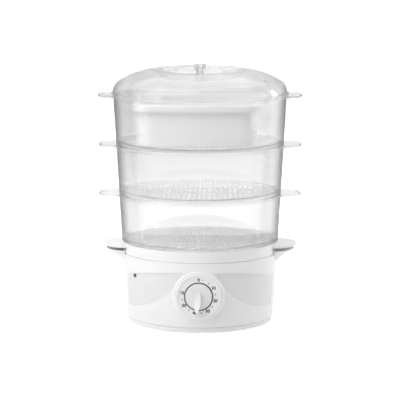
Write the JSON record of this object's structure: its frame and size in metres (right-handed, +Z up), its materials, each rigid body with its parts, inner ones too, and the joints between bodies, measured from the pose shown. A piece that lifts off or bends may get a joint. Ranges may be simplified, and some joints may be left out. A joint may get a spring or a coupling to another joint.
{
  "type": "electric food steamer",
  "caption": "Oval electric food steamer with a timer knob on a white base, drip tray, clear stacking tiers, a rice bowl and a clear domed lid with a finger grip.",
  "frame": {"origin": "middle of the base's footprint, on the surface that the feet stand on", "axes": "+Z up, -Y out of the front with the dial, +X to the right of the dial seen from the front"},
  "size_m": [0.32, 0.226, 0.4099],
  "materials": {
    "white_shell": "glossy",
    "dial_plastic": "satin",
    "knob_plastic": "satin",
    "tray_plastic": "glossy",
    "bowl_plastic": "satin",
    "clear_plastic": "clear and polished",
    "clear_lid": "clear and polished",
    "turbo_plastic": "matt",
    "tank_plastic": "satin",
    "cover_plastic": "fine spark texture",
    "gland_plastic": "matt",
    "block_plastic": "matt",
    "contact_plastic": "matt",
    "indicator_plastic": "tinted, unlit",
    "neon_glass": "clear",
    "foot_rubber": "matt",
    "seal_silicone": "matt",
    "screw_steel": "zinc plated",
    "plate_steel": "zinc plated",
    "shaft_steel": "turned",
    "gong_steel": "polished",
    "timer_brass": "stamped",
    "heater_metal": "cast, satin",
    "element_metal": "drawn tube",
    "thermostat_case": "matt",
    "fuse_ceramic": "matt",
    "live_insulation": "matt",
    "switched_insulation": "matt",
    "neutral_insulation": "matt",
    "earth_insulation": "matt"
  },
  "bodies": {
    "base": {"base_housing": "white_shell", "bottom_cover": "cover_plastic", "rubber_feet": "foot_rubber", "cover_screws": "screw_steel", "water_tank": "tank_plastic", "heater_plate": "heater_metal", "heater_seal": "seal_silicone", "heating_element": "element_metal", "heater_clamp": "plate_steel", "clamp_screws": "screw_steel", "thermostat": "thermostat_case", "thermal_fuse": "fuse_ceramic", "dial_ring": "dial_plastic", "timer_front_plate": "plate_steel", "timer_back_plate": "plate_steel", "timer_posts": "timer_brass", "timer_screws": "screw_steel", "timer_contacts": "contact_plastic", "timer_gong": "gong_steel", "indicator_lens": "indicator_plastic", "neon_lamp": "neon_glass", "cord_gland": "gland_plastic", "terminal_block": "block_plastic", "live_lead": "live_insulation", "switched_lead": "switched_insulation", "neutral_lead": "neutral_insulation", "earth_lead": "earth_insulation", "spout_left": "white_shell", "spout_right": "white_shell"},
    "knob": {"control_knob": "knob_plastic", "timer_shaft": "shaft_steel", "timer_main_wheel": "timer_brass", "timer_cam": "contact_plastic"},
    "pinion": {"timer_pinion": "timer_brass"},
    "turbo_ring": {"turbo_ring": "turbo_plastic"},
    "drip_tray": {"drip_tray": "tray_plastic"},
    "tier_lower": {"tier_lower": "clear_plastic"},
    "tier_middle": {"tier_middle": "clear_plastic"},
    "tier_upper": {"tier_upper": "clear_plastic"},
    "rice_bowl": {"rice_bowl": "bowl_plastic"},
    "lid": {"lid": "clear_lid", "lid_grip": "clear_lid"}
  },
  "joints": [
    {"name": "knob_turn", "type": "hinge", "parent": "base", "child": "knob", "pos_m": [0, -0.1, 0.062], "axis": [0, 1, 0], "range_deg": [-184, 99]},
    {"name": "pinion_turn", "type": "hinge", "parent": "base", "child": "pinion", "pos_m": [-0.0181, -0.08, 0.0439], "axis": [0, 1, 0], "range_deg": [-298, 553]},
    {"name": "turbo_ring_lift", "type": "slide", "parent": "base", "child": "turbo_ring", "axis": [0, 0, 1], "range_m": [0, 0.02]},
    {"name": "tray_lift", "type": "slide", "parent": "base", "child": "drip_tray", "axis": [0, 0, 1], "range_m": [0, 0.05]},
    {"name": "tier_lower_lift", "type": "slide", "parent": "drip_tray", "child": "tier_lower", "axis": [0, 0, 1], "range_m": [0, 0.09]},
    {"name": "tier_middle_lift", "type": "slide", "parent": "tier_lower", "child": "tier_middle", "axis": [0, 0, 1], "range_m": [0, 0.09]},
    {"name": "tier_upper_lift", "type": "slide", "parent": "tier_middle", "child": "tier_upper", "axis": [0, 0, 1], "range_m": [0, 0.09]},
    {"name": "rice_bowl_lift", "type": "slide", "parent": "tier_upper", "child": "rice_bowl", "axis": [0, 0, 1], "range_m": [0, 0.02]},
    {"name": "lid_lift", "type": "slide", "parent": "tier_upper", "child": "lid", "axis": [0, 0, 1], "range_m": [0, 0.08]}
  ],
  "couplings": [
    {"joint": "pinion_turn", "follows": "knob_turn", "ratio": -3}
  ]
}
